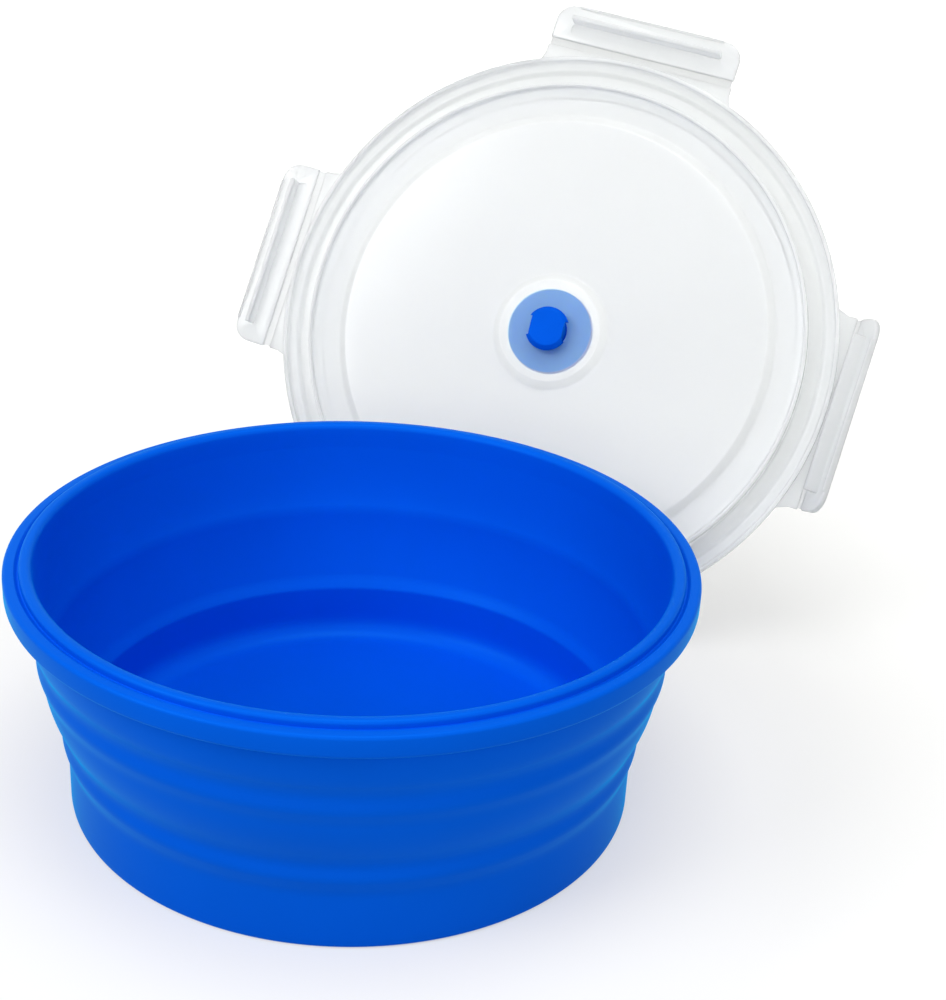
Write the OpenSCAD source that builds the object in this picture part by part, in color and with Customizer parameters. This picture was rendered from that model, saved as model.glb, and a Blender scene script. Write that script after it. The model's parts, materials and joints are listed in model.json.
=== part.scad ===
// Collapsible silicone bowl with a clip-down lid, shown open with the lid stood up behind it.
// Millimetres. The origin is the centre of the bowl's flat foot, +Z up, and +Y points to the lid.
// Every section is (radius, height), and every round wall is one revolve.

/* [Rim] */
// Widest radius of the rim
rim_r = 92.2; // [80:0.1:105]
// Height of the sealing bead's crest above the table
bowl_h = 71.4; // [66:0.1:85]
// How far the sealing bead stands above the flange
bead_rise = 1.5; // [1.2:0.1:3]
// Width of the sealing bead
bead_w = 3.4; // [2.5:0.1:4]
// Height of the collar that the lid's clips hook under
collar_h = 6; // [4.5:0.1:8]
// How far the collar stands out from the wall below it
collar_step = 4.6; // [4:0.1:6]
// Wall thickness just under the rim
rim_wall = 3; // [2.4:0.1:3.6]

/* [Wall] */
// How much wider the wall is under the collar than at the upper fold line
wall_flare = 3.1; // [1.5:0.1:5]
// Height of the upper fold line
fold_top_z = 45.2; // [41:0.1:47]
// How much wider the band is at the upper fold line than at the lower one
band_flare = 5.5; // [4.5:0.1:7]
// Height of the lower fold line
fold_foot_z = 21.9; // [18:0.1:24]
// Thickness of the thin band that turns over when the bowl folds
fold_wall = 2; // [1.4:0.1:2.3]
// How far the soft ridge along each fold line stands out of the wall
ridge_out = 0.5; // [0.3:0.05:0.9]
// Height of that ridge
ridge_h = 2.6; // [2:0.1:4]

/* [Base] */
// How far the lower fold line stands out from the base cup
base_step = 1; // [0.6:0.1:2]
// Wall thickness of the base cup
base_wall = 3; // [2.4:0.1:3.4]
// Thickness of the floor
floor_t = 2.6; // [2:0.1:4]
// Radius of the rounded edge under the base
foot_round = 2.5; // [1.5:0.1:5]
// Radius of the rounded corner inside, between floor and wall
inner_round = 6; // [4:0.1:9]

/* [Lid] */
// Thickness of the lid's panel
lid_t = 1.6; // [1.2:0.1:2.2]
// Thickness of the outer lip round the flange
lip_t = 1.4; // [1:0.1:1.8]
// How far the outer lip hangs below the flange's top
lip_drop = 2.2; // [1.5:0.1:3]
// Thickness of the skirt that plugs the bowl's mouth
skirt_t = 1.2; // [0.9:0.1:1.6]
// How far that skirt hangs below the flange's top
skirt_drop = 4.4; // [3.5:0.1:6]
// Width of the flat ring inside the skirt
shelf_w = 9; // [6:0.1:12]
// Width of the sloped step between that ring and the sunk panel
step_w = 2.6; // [1.6:0.1:4]
// How far the ring inside the skirt lies below the flange's top
shelf_drop = 1; // [0.6:0.1:1.4]
// How far the panel is sunk below that ring
panel_sink = 2; // [1.8:0.1:2.6]

/* [Clips] */
// Width of each clip along the rim
clip_w = 64.5; // [44:0.5:66]
// Length of each clip from its hinge to its free edge
clip_l = 12.2; // [9.5:0.1:14]
// Thickness of a clip's plate
clip_t = 1.8; // [1.4:0.1:2]
// Radius of a clip's outer corners
clip_corner = 7; // [3:0.1:8]
// Distance of the hinge line outside the lid's round edge
hinge_out = 1.6; // [1.4:0.1:3]
// Length of the thin web that bends as the hinge
web_l = 2.4; // [2.3:0.1:3]
// Thickness of that web
web_t = 0.5; // [0.3:0.05:0.8]
// Width of the ledge that hooks under the collar
ledge_w = 52; // [30:0.5:52]
// Thickness of that ledge
ledge_t = 1.6; // [1.2:0.1:1.8]

/* [Vent plug] */
// Radius of the plug's cap
cap_r = 14.2; // [12.5:0.1:15]
// Thickness of the cap
cap_t = 2.4; // [2:0.1:2.8]
// Radius of the plug's neck
neck_r = 5.4; // [5:0.1:6.6]
// Radius over the two wings that keep the plug in its hole
wing_r = 7.3; // [7:0.1:8.5]
// Height of the wings
wing_h = 2.2; // [1.5:0.1:3]
// How far the plug can be pulled out to let steam go
plug_travel = 3; // [2:0.1:4]

/* [Standing lid] */
// Sideways place of the lid's centre
lid_x = 53.5; // [40:0.1:60]
// How far the lid's foot is tucked in under the bowl's rim
lid_tuck = 4.7; // [0:0.1:4.9]
// Angle that the lid leans back
lid_lean = 28; // [26:0.5:30]
// Angle that the lid is turned to the side
lid_yaw = -15; // [-16:0.5:-14]
// Turn of the clips round the lid's centre
lid_spin = 8; // [6:0.5:10]
// Angle that the right clip has dropped towards closed
right_clip_angle = 60; // [0:1:80]

/* [Hidden] */
$fn = 180;

// Clearances
// Gap between the lid and the rim where they only lie on each other
seat_gap = 0.2;
// Gap between a lid wall and the rim wall beside it
side_gap = 0.5;
// Gap between the plug's neck and its hole
neck_gap = 0.6;
// Gap all round under the plug's cap
cap_gap = 0.1;
// Gap between the table and the clip corner that the lid stands on
stand_gap = 0.2;
// One overrun for every cut
over = 1;

// Rim, worked out from the sizes above
collar_under_r = rim_r - collar_step;
flange_z = bowl_h - bead_rise;
collar_z = flange_z - collar_h;
mouth_r = collar_under_r - rim_wall;
bead_mid_r = mouth_r + bead_w / 2;
bead_out_r = mouth_r + bead_w;
collar_round = collar_h * 0.2;
groove_w = bead_w * 0.35;
groove_drop = bead_rise * 0.4;

// Wall and base, worked out downwards from the rim
fold_top_r = collar_under_r - wall_flare;
fold_foot_r = fold_top_r - band_flare;
base_r = fold_foot_r - base_step;
fold_foot_in_r = fold_foot_r - fold_wall;
fold_top_in_r = fold_top_r - fold_wall - fold_wall * 0.2;
base_in_r = base_r - base_wall;
belly_share = 0.76;
belly_r = fold_foot_r + (fold_top_r - fold_foot_r) * belly_share;
belly_z = (fold_foot_z + fold_top_z) / 2;

// Lid, worked out in its own frame: its Z axis is the bowl's axis when it is on,
// and its zero height is the top of the rim's flange
lid_lip_in_r = rim_r + side_gap;
lid_r = lid_lip_in_r + lip_t;
skirt_r = mouth_r - side_gap;
skirt_in_r = skirt_r - skirt_t;
channel_r = bead_out_r + groove_w / 2;
roof_z = bead_rise + seat_gap;
shelf_r = skirt_in_r - shelf_w;
panel_r = shelf_r - step_w;
panel_top_z = lid_t - shelf_drop - panel_sink;
panel_under_z = panel_top_z - lid_t;
seat_r = cap_r + neck_gap * 4;
seat_out_r = seat_r + lid_t;
seat_top_z = panel_top_z - cap_t;
seat_under_z = seat_top_z - lid_t;
hole_r = neck_r + neck_gap;

// Clips, worked out
clip_places = [0, 1, 2, 3];
hinge_r = lid_r + hinge_out;
hinge_z = seat_gap + lid_t / 2;
root_r = hinge_r - web_l / 2;
root_flare = clip_corner * 0.7;
ledge_far = collar_h + hinge_z + seat_gap + ledge_t;
ledge_h = hinge_r - clip_t / 2 - rim_r + clip_t;
web_w = clip_w - web_t * 2;
finger_t = clip_t * 0.5;
dish_deep = clip_t * 0.25;
dish_l = clip_l * 0.2;

// Standing lid, worked out: its foot clip is closed, and one corner of that clip is on the table
clip_out_r = hinge_r + clip_t / 2;
foot_reach = clip_out_r * cos(lid_spin) + clip_w / 2 * sin(lid_spin);
lid_z = foot_reach * cos(lid_lean) + (hinge_z - web_l / 2) * sin(lid_lean) + stand_gap;
lid_y = rim_r + hinge_r * sin(lid_lean) - lid_tuck;

// Points of a round corner, from angle a to angle b round a centre
function arc(c, r, a, b, steps = 6) =
    [for (i = [0:steps]) c + r * [cos(a + (b - a) * i / steps), sin(a + (b - a) * i / steps)]];

// Points of a soft curve from p to q that heads for the point m on its way
function bend(p, m, q, steps = 6) =
    [for (i = [0:steps]) let (t = i / steps) (1 - t) * (1 - t) * p + 2 * t * (1 - t) * m + t * t * q];

// Places something made in the lid's own frame where the lid stands, leaning back with its underside forward
module stood_up() {
    translate([lid_x, lid_y, lid_z])
        rotate([-90 - lid_lean, 0, lid_yaw])
            children();
}

// Turns something made along the lid's X axis to one of the four clip places
module at_clip(place) {
    rotate([0, 0, lid_spin + 90 * (place - 1)])
        children();
}

// A plate that lies along X from x0, with its two far corners rounded
module round_plate(x0, length, width, corner, thick) {
    linear_extrude(thick)
        intersection() {
            translate([x0, -width / 2]) square([length, width]);
            union() {
                translate([x0, -width / 2]) square([length - corner, width]);
                translate([x0, corner - width / 2]) square([length, width - 2 * corner]);
                for (side = [-1, 1])
                    translate([x0 + length - corner, side * (width / 2 - corner)]) circle(corner, $fn = 48);
            }
        }
}

// Base cup: floor, rounded foot edge and the lowest, nearly upright wall with the lower ridge at its top
module base_cup() {
    ridge_z = fold_foot_z - ridge_h;
    section = concat(
        [[0, 0]],
        arc([base_r - foot_round, foot_round], foot_round, -90, 0),
        bend([base_r, ridge_z], [fold_foot_r + ridge_out, ridge_z + ridge_h / 2],
            [fold_foot_r, fold_foot_z]),
        bend([fold_foot_in_r, fold_foot_z], [base_in_r, ridge_z + ridge_h / 2], [base_in_r, ridge_z]),
        arc([base_in_r - inner_round, floor_t + inner_round], inner_round, 0, -90),
        [[0, floor_t]]);
    color([0.01, 0.28, 0.79])
        rotate_extrude() polygon(section);
}

// Fold band: the thin wall between the two fold lines, which turns over when the bowl is pressed flat
module fold_band() {
    ridge_z = fold_top_z - ridge_h;
    section = concat(
        bend([fold_foot_r, fold_foot_z], [belly_r, belly_z], [fold_top_r - ridge_out, ridge_z]),
        bend([fold_top_r - ridge_out, ridge_z], [fold_top_r + ridge_out, ridge_z + ridge_h / 2],
            [fold_top_r, fold_top_z]),
        bend([fold_top_in_r, fold_top_z], [belly_r - fold_wall, belly_z], [fold_foot_in_r, fold_foot_z]));
    color([0.02, 0.32, 0.85])
        rotate_extrude() polygon(section);
}

// Upper wall: the stiffer ring between the upper fold line and the collar
module upper_wall() {
    mid_z = fold_top_z + (collar_z - fold_top_z) * 0.35;
    section = concat(
        bend([fold_top_r, fold_top_z], [collar_under_r - fold_wall * 0.2, mid_z],
            [collar_under_r, collar_z], 8),
        bend([mouth_r, collar_z], [mouth_r - fold_wall * 0.3, mid_z], [fold_top_in_r, fold_top_z], 8));
    color([0.01, 0.3, 0.8])
        rotate_extrude() polygon(section);
}

// Rim collar: the thick collar and flange that the clips hook under, with the groove and the sealing bead
module rim_collar() {
    groove_z = flange_z - groove_drop;
    section = concat(
        [[mouth_r, collar_z], [collar_under_r, collar_z]],
        arc([rim_r - collar_round, collar_z + collar_round], collar_round, -90, 0),
        arc([rim_r - collar_round, flange_z - collar_round], collar_round, 0, 90),
        bend([bead_out_r + groove_w, flange_z], [bead_out_r + groove_w / 2, groove_z - groove_drop],
            [bead_out_r, groove_z], 4),
        bend([bead_out_r, groove_z], [bead_out_r, bowl_h], [bead_mid_r, bowl_h], 5),
        bend([bead_mid_r, bowl_h], [mouth_r, bowl_h], [mouth_r, flange_z], 5));
    color([0.02, 0.4, 0.86])
        rotate_extrude() polygon(section);
}

// One root, where the round lid runs out to the straight hinge line of a clip
module clip_root() {
    translate([0, 0, seat_gap])
        linear_extrude(lid_t)
            difference() {
                polygon([
                    [0, 0],
                    [skirt_r, -(clip_w / 2 + root_flare)],
                    [root_r - root_flare, -(clip_w / 2 + root_flare / 4)],
                    [root_r, -clip_w / 2],
                    [root_r, clip_w / 2],
                    [root_r - root_flare, clip_w / 2 + root_flare / 4],
                    [skirt_r, clip_w / 2 + root_flare]]);
                circle(lid_lip_in_r);
            }
}

// Lid: sunk panel with its valve seat, the skirt that plugs the mouth, the channel over the bead, and the
// outer lip
module lid_shell() {
    section = concat(
        [[hole_r, seat_under_z], [seat_out_r, seat_under_z]],
        [[seat_out_r + lid_t / 2, panel_under_z], [panel_r, panel_under_z]],
        [[shelf_r, -shelf_drop], [skirt_in_r, -shelf_drop]],
        [[skirt_in_r, -skirt_drop]],
        [[skirt_r, -skirt_drop], [skirt_r, roof_z - skirt_t / 2], [skirt_r + skirt_t / 2, roof_z]],
        [[channel_r, roof_z], [channel_r + groove_w / 2, seat_gap]],
        [[lid_lip_in_r, seat_gap], [lid_lip_in_r, -lip_drop]],
        [[lid_r - lip_t / 3, -lip_drop], [lid_r, lip_t / 3 - lip_drop]],
        arc([lid_r - lid_t, seat_gap], lid_t, 0, 90),
        [[channel_r + groove_w + lid_t, seat_gap + lid_t]],
        [[channel_r + groove_w / 2 + lid_t / 2, roof_z + lid_t]],
        [[skirt_in_r - lid_t, roof_z + lid_t]],
        [[skirt_in_r - lid_t * 2, lid_t - shelf_drop], [shelf_r - lid_t / 4, lid_t - shelf_drop]],
        [[panel_r - lid_t / 4, panel_top_z], [seat_r + lid_t / 2, panel_top_z]],
        [[seat_r, seat_top_z], [hole_r, seat_top_z]]);
    color([0.93, 0.95, 0.97])
        stood_up() {
            rotate_extrude() polygon(section);
            for (place = clip_places)
                at_clip(place) clip_root();
        }
}

// One clip, lying open in the lid's plane: plate, hook ledge, finger edge and the shallow dish in its face
module clip() {
    start = web_l / 2;
    translate([hinge_r, 0, hinge_z]) {
        difference() {
            union() {
                translate([0, 0, -clip_t / 2])
                    round_plate(start, clip_l, clip_w, clip_corner, clip_t);
                translate([ledge_far - ledge_t, -ledge_w / 2, -clip_t / 2 - ledge_h])
                    cube([ledge_t, ledge_w, ledge_h + clip_t / 2]);
                translate([start + clip_l - finger_t, clip_corner - clip_w / 2, -clip_t / 2 - finger_t])
                    cube([finger_t, clip_w - 2 * clip_corner, clip_t / 2]);
            }
            translate([start + dish_l, clip_corner - clip_w / 2, clip_t / 2 - dish_deep])
                cube([clip_l - 2 * dish_l, clip_w - 2 * clip_corner, dish_deep + over]);
        }
    }
}

// One living hinge: a thin web in two flat halves, bent by an angle at the line between them
module hinge_web(turn) {
    mitre = web_t / 2 * tan(turn / 2);
    tip = web_l / 2 * [cos(turn), -sin(turn)];
    across = web_t / 2 * [sin(turn), cos(turn)];
    rotate([90, 0, 0])
        linear_extrude(web_w, center = true)
            polygon([
                [-web_l / 2, -web_t / 2],
                [-mitre, -web_t / 2],
                tip - across,
                tip + across,
                [mitre, web_t / 2],
                [-web_l / 2, web_t / 2]]);
}

// A clip at its place on the lid, turned about its hinge by an angle: 0 is open, and 90 is closed under the
// collar
module placed_clip(place, turn) {
    color([0.93, 0.95, 0.97])
        stood_up()
            at_clip(place)
                translate([hinge_r, 0, hinge_z])
                    rotate([0, turn, 0])
                        translate([-hinge_r, 0, -hinge_z])
                            clip();
}

// The web that joins that clip to its root, bent by the same angle
module placed_web(place, turn) {
    color([0.88, 0.92, 0.95])
        stood_up()
            at_clip(place)
                translate([hinge_r, 0, hinge_z])
                    hinge_web(turn);
}

module top_clip() placed_clip(0, 0);
module right_clip() placed_clip(1, right_clip_angle);
module foot_clip() placed_clip(2, 90);
module left_clip() placed_clip(3, 0);

module top_hinge() placed_web(0, 0);
module right_hinge() placed_web(1, right_clip_angle);
module foot_hinge() placed_web(2, 90);
module left_hinge() placed_web(3, 0);

// Vent plug: round cap in the seat on the lid's outer side, neck through the hole, and two wings on the
// inner side, which are a disc with a notch on each side that lets the steam by
module vent_plug() {
    cap_z = seat_top_z + cap_gap;
    cap_top_z = cap_z + cap_t;
    cap_round = cap_t * 0.4;
    wing_top_z = seat_under_z - plug_travel;
    wing_foot_z = wing_top_z - wing_h;
    notch_x = neck_r + neck_gap / 4;
    notch_w = wing_r * 0.9;
    section = concat(
        [[0, wing_foot_z], [neck_r, wing_foot_z], [wing_r, wing_foot_z + wing_h / 2]],
        [[wing_r, wing_top_z], [neck_r, wing_top_z]],
        [[neck_r, cap_z], [cap_r - cap_round, cap_z]],
        arc([cap_r - cap_round, cap_z + cap_round], cap_round, -90, 0),
        arc([cap_r - cap_round, cap_top_z - cap_round], cap_round, 0, 90),
        [[0, cap_top_z]]);
    color([0.05, 0.35, 0.88])
        stood_up()
            difference() {
                rotate_extrude() polygon(section);
                for (side = [0, 180])
                    rotate([0, 0, side - lid_spin / 2])
                        translate([notch_x, -notch_w / 2, wing_foot_z - over])
                            cube([wing_r, notch_w, wing_h + over + plug_travel / 2]);
            }
}

base_cup();
fold_band();
upper_wall();
rim_collar();
lid_shell();
top_clip();
right_clip();
foot_clip();
left_clip();
top_hinge();
right_hinge();
foot_hinge();
left_hinge();
vent_plug();
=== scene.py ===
# %% [markdown]
# # A folding silicone bowl and its clip-down lid
# The bowl is one soft moulding, the lid is one stiff see-through moulding, and a little soft plug sits in
# the lid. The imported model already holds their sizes, joints and places. This script loads it as a fixed
# frame and dresses it: every piece is modelled again with soft edges, in metres, exactly where the frame is.

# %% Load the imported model
import json
import math

import bmesh
import bpy
from mathutils import Matrix, Vector


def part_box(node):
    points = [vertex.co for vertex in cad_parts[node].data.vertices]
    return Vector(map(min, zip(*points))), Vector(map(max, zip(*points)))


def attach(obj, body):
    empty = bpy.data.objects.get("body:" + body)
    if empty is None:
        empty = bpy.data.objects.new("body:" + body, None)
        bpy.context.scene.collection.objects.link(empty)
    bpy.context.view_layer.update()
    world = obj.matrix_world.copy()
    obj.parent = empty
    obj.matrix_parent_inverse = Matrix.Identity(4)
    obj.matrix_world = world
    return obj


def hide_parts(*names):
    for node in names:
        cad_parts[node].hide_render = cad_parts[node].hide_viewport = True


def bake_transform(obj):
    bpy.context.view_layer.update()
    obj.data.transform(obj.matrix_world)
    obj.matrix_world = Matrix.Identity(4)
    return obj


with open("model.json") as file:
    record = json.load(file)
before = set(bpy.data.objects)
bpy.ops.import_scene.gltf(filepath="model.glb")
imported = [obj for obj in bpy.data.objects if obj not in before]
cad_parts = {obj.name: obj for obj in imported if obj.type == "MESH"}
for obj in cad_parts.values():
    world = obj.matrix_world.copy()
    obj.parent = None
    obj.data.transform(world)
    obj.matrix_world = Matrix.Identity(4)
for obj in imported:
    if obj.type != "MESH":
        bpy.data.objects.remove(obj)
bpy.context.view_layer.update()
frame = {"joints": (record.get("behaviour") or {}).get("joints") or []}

MM = 0.001
JOINTS = {joint["name"]: joint for joint in frame["joints"]}

# %% [markdown]
# ## Sizes that come from the frame
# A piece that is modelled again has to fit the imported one, so its main sizes are measured on the frame's
# own boxes. Only what the boxes can't tell, such as a wall's thickness, is written here in millimetres.


# %% Measure the bowl
def span_mm(node):
    """Widest radius round the bowl's axis, lowest and highest point of a node, in millimetres."""
    low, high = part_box(node)
    return high.x / MM, low.z / MM, high.z / MM


RIM_R, COLLAR_Z, BOWL_H = span_mm("rim_collar")
WALL_TOP_R, FOLD_TOP_Z, _ = span_mm("upper_wall")
_, FOLD_FOOT_Z, _ = span_mm("fold_band")

# Outer radii at the two fold lines and at the foot.
FOLD_TOP_R = 84.5
FOLD_FOOT_R = 79.0
BASE_R = 78.0

# Thicknesses, and the bead's width and height over the flange.
RIM_WALL = 3.0
FOLD_WALL = 2.0
BASE_WALL = 3.0
FLOOR_T = 2.6
BEAD_W = 3.4
BEAD_RISE = 1.5

FLANGE_Z = BOWL_H - BEAD_RISE
MOUTH_R = WALL_TOP_R - RIM_WALL
print(f"rim {RIM_R:.1f}, collar from {COLLAR_Z:.1f} to {FLANGE_Z:.1f}")
print(f"fold lines at {FOLD_FOOT_Z:.1f} and {FOLD_TOP_Z:.1f}")

# %% [markdown]
# ## Where the lid stands
# The lid leans behind the bowl, so it is easiest to model in a frame of its own: Z is the lid's axis, and
# zero height is the top of the rim's flange when the lid is on. The vent's slide gives that axis. The hinge
# lines of two clips that face each other give the centre, and the right clip gives the direction of X.


# %% Build the lid's own frame
def joint_point(name):
    """Where a joint sits, in metres."""
    return Vector(JOINTS[name]["pos_m"])


# The lid's thickness, and the clearance where it and its clips lie against the rim. The hinge lines run in
# the middle of the lid's thickness.
LID_T = 1.6
SEAT_GAP = 0.2
HINGE_Z = SEAT_GAP + LID_T / 2
lid_axis = Vector(JOINTS["vent_pull"]["axis"]).normalized()
hinge_middle = (joint_point("top_clip_fold") + joint_point("foot_clip_fold")) / 2
lid_centre = hinge_middle - lid_axis * HINGE_Z * MM
to_right = joint_point("right_clip_fold") - hinge_middle
HINGE_R = to_right.length / MM
lid_x = to_right.normalized()
lid_y = lid_axis.cross(lid_x)
LID_PLACE = Matrix.Translation(lid_centre) @ Matrix((lid_x, lid_y, lid_axis)).transposed().to_4x4()

# Where each clip sits round the lid, and how far it is turned at rest, in degrees. A joint's range ends
# where its clip is closed.
CLIP_TURNS = {"top": -90, "right": 0, "foot": 90, "left": 180}
CLOSED_DEG = 90
CLIP_REST = {name: CLOSED_DEG - JOINTS[name + "_clip_fold"]["range_deg"][1] for name in CLIP_TURNS}
print(f"hinge lines {HINGE_R:.1f} mm from the lid's centre, clips turned", CLIP_REST)

# %% [markdown]
# ## Four small helpers
# Colours are picked as sRGB hex values, as a paint chart gives them, but shaders work in linear light, so
# one function converts them. One function adds a node with its settings and links, for geometry and
# material trees alike. One starts a material with an empty tree, and one turns a finished mesh into an
# object.


# %% Helpers
def linear(hex_colour, alpha=1.0):
    """An sRGB hex colour such as #0050D0 as linear light."""
    channels = [int(hex_colour[i:i + 2], 16) / 255 for i in (1, 3, 5)]
    return [c / 12.92 if c <= 0.04045 else ((c + 0.055) / 1.055) ** 2.4 for c in channels] + [alpha]


def add_node(tree, kind, values=None, links=None, **settings):
    """Adds one node with its settings, its input values and the sockets that feed it."""
    made = tree.nodes.new(kind)
    for name, value in settings.items():
        setattr(made, name, value)
    for name, value in (values or {}).items():
        made.inputs[name].default_value = value
    for name, source in (links or {}).items():
        tree.links.new(source, made.inputs[name])
    return made


def new_material(name):
    """A material whose node tree is still empty."""
    made = bpy.data.materials.new(name)
    made.use_nodes = True
    made.node_tree.nodes.clear()
    return made


def new_object(name, mesh, material=None):
    """Puts a finished mesh into the scene, at the origin, with its material."""
    made = bpy.data.objects.new(name, mesh)
    bpy.context.scene.collection.objects.link(made)
    if material:
        mesh.materials.clear()
        mesh.materials.append(material)
    return made


print("blue as linear light:", [round(c, 3) for c in linear("#0050D0")])

# %% [markdown]
# ## Silicone
# Silicone rubber is compression moulded and pigmented all the way through, so the eye sees one deep, even
# colour. The mould is lightly blasted, which gives a satin gloss. A rough, strongly pigmented skin also
# tints what it reflects, so its highlights turn a lighter blue and never white. A plain shader mirrors white
# at slanting views, so its own mirror part is nearly off here, and a glossy shader in a light blue is mixed
# in by the Fresnel law of silicone. The blasting itself is too fine to show, so its bump is drawn nearly a
# millimetre coarse.


# %% Silicone material
SILICONE_IOR = 1.41
MIRRORED_BLUE = "#00B0F0"

# Least and most roughness, the depth of the grit in millimetres, and the part of the slow noise over which
# the colour goes from shade to full.
SATIN = (0.36, 0.46)
GRIT_DEPTH = 0.05
DRIFT_SPAN = (0.3, 0.7)


def silicone(name, colour, shade, grit_mm, drift_mm):
    """Satin pigmented silicone: grit_mm is the mould's blasting, drift_mm the slow change of its gloss."""
    made = new_material(name)
    tree = made.node_tree
    place = add_node(tree, "ShaderNodeTexCoord").outputs["Object"]
    drift = add_node(tree, "ShaderNodeTexNoise",
                     {"Scale": 1 / (drift_mm * MM), "Detail": 3, "Roughness": 0.5}, {"Vector": place})
    tint = add_node(tree, "ShaderNodeValToRGB", links={"Fac": drift.outputs["Fac"]})
    for step, position, hex_colour in zip(tint.color_ramp.elements, DRIFT_SPAN, (shade, colour)):
        step.position = position
        step.color = linear(hex_colour)
    gloss = add_node(tree, "ShaderNodeMapRange", {"To Min": SATIN[0], "To Max": SATIN[1]},
                     {"Value": drift.outputs["Fac"]})
    grit = add_node(tree, "ShaderNodeTexNoise",
                    {"Scale": 1 / (grit_mm * MM), "Detail": 2, "Roughness": 0.6}, {"Vector": place})
    bump = add_node(tree, "ShaderNodeBump", {"Strength": 0.12, "Distance": GRIT_DEPTH * MM},
                    {"Height": grit.outputs["Fac"]})
    skin = add_node(tree, "ShaderNodeBsdfPrincipled", {"IOR": SILICONE_IOR, "Specular IOR Level": 0.02},
                    {"Base Color": tint.outputs["Color"], "Roughness": gloss.outputs["Result"],
                     "Normal": bump.outputs["Normal"]})
    mirror = add_node(tree, "ShaderNodeBsdfGlossy", {"Color": linear(MIRRORED_BLUE)},
                      {"Roughness": gloss.outputs["Result"], "Normal": bump.outputs["Normal"]})
    slant = add_node(tree, "ShaderNodeFresnel", {"IOR": SILICONE_IOR}, {"Normal": bump.outputs["Normal"]})
    both = add_node(tree, "ShaderNodeMixShader", links={0: slant.outputs["Fac"], 1: skin.outputs["BSDF"],
                                                        2: mirror.outputs["BSDF"]})
    add_node(tree, "ShaderNodeOutputMaterial", links={"Surface": both.outputs["Shader"]})
    return made


BOWL_SILICONE = silicone("satin_blue_silicone", "#005AE0", "#0056D8", grit_mm=0.9, drift_mm=60)
PLUG_SILICONE = silicone("plug_blue_silicone", "#0054DC", "#004ED2", grit_mm=0.6, drift_mm=12)
print("materials:", BOWL_SILICONE.name, PLUG_SILICONE.name)

# %% [markdown]
# ## Milky polypropylene
# Natural polypropylene is injection moulded about a millimetre and a half thick in a polished mould. It has
# no pigment, but its crystals scatter light, so it is see-through and milky at once: what touches it from
# behind shows through, and what is further away fades. A rough transmission gives the blur, and light
# scattered under the surface gives the milk. The wall is thinner and clearer round the vent's seat. Where
# the blue cap lies on it, the plastic is painted light blue, a painted show-through of the cap behind the
# wall. The refraction is weaker than the plastic's own, because a clear wall would draw hard dark lines that
# milk softens. The polish is a thin clear coat on top.


# %% Polypropylene material
# Radii of the clearer middle and of the seat painted with the cap's blue, and over how many millimetres
# they fade.
CLEAR_R = 19.0
CLEAR_FADE = 1.0
PAINTED_CAP_R = 13.8
PAINTED_CAP_FADE = 0.3

# Width and depth of the ripples that the flow in the mould leaves, and least and most roughness.
FLOW_SIZE = 35.0
RIPPLE_DEPTH = 0.1
HAZE = (0.26, 0.36)


def polypropylene(name, colour, painted_cap_blue, clearness, seat_clearness, milk_mm):
    """Unpigmented moulded plastic: clearness is the share of the light that goes through."""
    made = new_material(name)
    tree = made.node_tree
    place = add_node(tree, "ShaderNodeTexCoord").outputs["Object"]
    arm = add_node(tree, "ShaderNodeVectorMath", {1: lid_centre}, {0: place}, operation="SUBTRACT")
    turn = add_node(tree, "ShaderNodeVectorMath", {1: lid_axis}, {0: arm.outputs["Vector"]},
                    operation="CROSS_PRODUCT")
    radius = add_node(tree, "ShaderNodeVectorMath", links={0: turn.outputs["Vector"]}, operation="LENGTH")
    clear = add_node(tree, "ShaderNodeMapRange",
                     {"From Min": (CLEAR_R - CLEAR_FADE) * MM, "From Max": (CLEAR_R + CLEAR_FADE) * MM,
                      "To Min": seat_clearness, "To Max": clearness}, {"Value": radius.outputs["Value"]})
    # Painted light: inside the cap's radius the ramp gives the plastic the cap's blue, a painted
    # show-through of the cap behind the wall; outside it the plain milky colour.
    painted_cap_mask = add_node(tree, "ShaderNodeMapRange",
                      {"From Min": PAINTED_CAP_R * MM, "From Max": (PAINTED_CAP_R + PAINTED_CAP_FADE) * MM},
                      {"Value": radius.outputs["Value"]})
    milk_and_painted_cap = add_node(tree, "ShaderNodeValToRGB", links={"Fac": painted_cap_mask.outputs["Result"]})
    milk_and_painted_cap.color_ramp.elements[0].color = linear(painted_cap_blue)
    milk_and_painted_cap.color_ramp.elements[1].color = linear(colour)
    flow = add_node(tree, "ShaderNodeTexNoise",
                    {"Scale": 1 / (FLOW_SIZE * MM), "Detail": 2, "Roughness": 0.5}, {"Vector": place})
    haze = add_node(tree, "ShaderNodeMapRange", {"To Min": HAZE[0], "To Max": HAZE[1]},
                    {"Value": flow.outputs["Fac"]})
    ripple = add_node(tree, "ShaderNodeBump", {"Strength": 0.05, "Distance": RIPPLE_DEPTH * MM},
                      {"Height": flow.outputs["Fac"]})
    body = add_node(tree, "ShaderNodeBsdfPrincipled",
                    {"IOR": 1.1, "Subsurface Weight": 0.9,
                     "Subsurface Radius": (1.0, 1.0, 1.0), "Subsurface Scale": milk_mm * MM,
                     "Coat Weight": 0.8, "Coat Roughness": 0.14, "Coat IOR": 1.45},
                    {"Base Color": milk_and_painted_cap.outputs["Color"], "Transmission Weight": clear.outputs["Result"],
                     "Roughness": haze.outputs["Result"], "Normal": ripple.outputs["Normal"]})
    add_node(tree, "ShaderNodeOutputMaterial", links={"Surface": body.outputs["BSDF"]})
    return made


# The second colour is painted on over the cap, a painted show-through of the cap's blue.
LID_PLASTIC = polypropylene("milky_polypropylene", "#EEF0F0", "#B8E2F8",
                            clearness=0.45, seat_clearness=0.7, milk_mm=3.0)
print("material:", LID_PLASTIC.name)

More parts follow.
